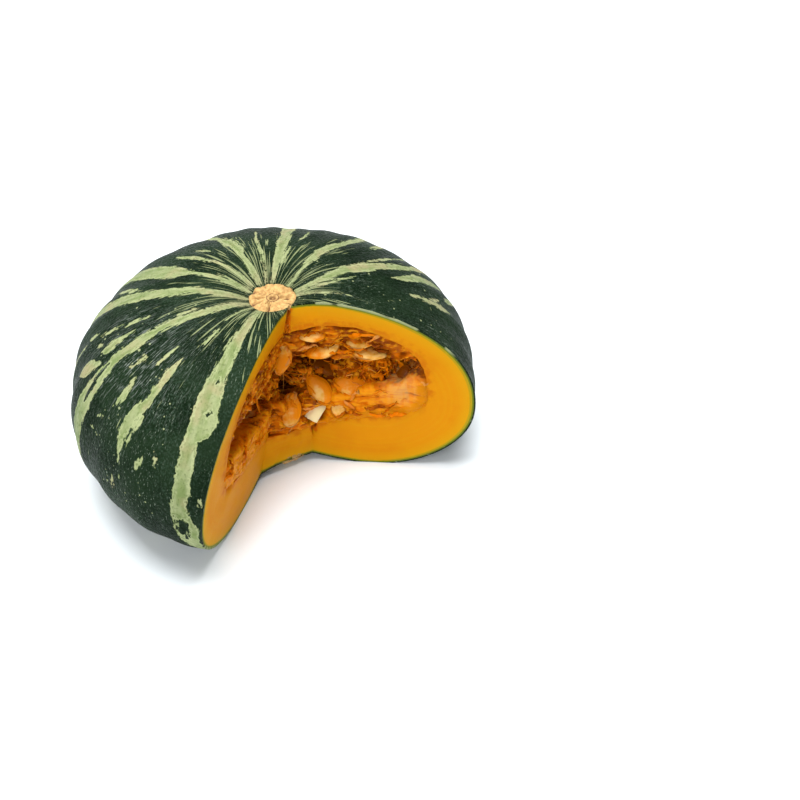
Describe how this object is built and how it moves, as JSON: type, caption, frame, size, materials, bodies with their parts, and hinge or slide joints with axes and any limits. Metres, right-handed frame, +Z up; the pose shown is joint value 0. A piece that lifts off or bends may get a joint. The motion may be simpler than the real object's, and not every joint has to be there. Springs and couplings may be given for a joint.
{
  "type": "cut squash",
  "caption": "Round, flattened, ribbed green squash with a large wedge cut out, open to its orange flesh and seed cavity.",
  "frame": {"origin": "on the table, under the middle of the bounding box", "axes": "+Z up along the fruit's axis towards the stem scar; the wedge is open towards +X and -Y"},
  "size_m": [0.1888, 0.185, 0.0978],
  "materials": {
    "rind": "waxy dark green skin with pale stripes",
    "flesh": "moist cut orange flesh",
    "cork": "dry corky scar",
    "pulp": "wet stringy pulp",
    "seed": "smooth seed coat under a thin orange film"
  },
  "bodies": {
    "root": {"rind": "rind", "flesh": "flesh", "stem_scar": "cork", "blossom_scar": "cork", "pulp_roof": "pulp", "pulp_floor": "pulp", "seed_roof_long": "seed", "seed_roof_upper": "seed", "seed_roof_edge": "seed", "seed_roof_tip": "seed", "seed_hanging": "seed", "seed_heap_left": "seed", "seed_heap_right": "seed", "seed_heap_low": "seed", "seed_heap_back": "seed", "seed_ledge_left": "seed", "seed_ledge_cut": "seed", "seed_wall_right": "seed", "seed_left_upper": "seed", "seed_left_lower": "seed", "seeds_floor_1": "seed", "seeds_roof_1": "seed", "seeds_floor_2": "seed", "seeds_roof_2": "seed", "seeds_floor_3": "seed", "seeds_roof_3": "seed", "seeds_floor_4": "seed", "seeds_roof_4": "seed", "seeds_floor_5": "seed", "seeds_roof_5": "seed", "seeds_floor_6": "seed", "seeds_roof_6": "seed"}
  },
  "joints": []
}
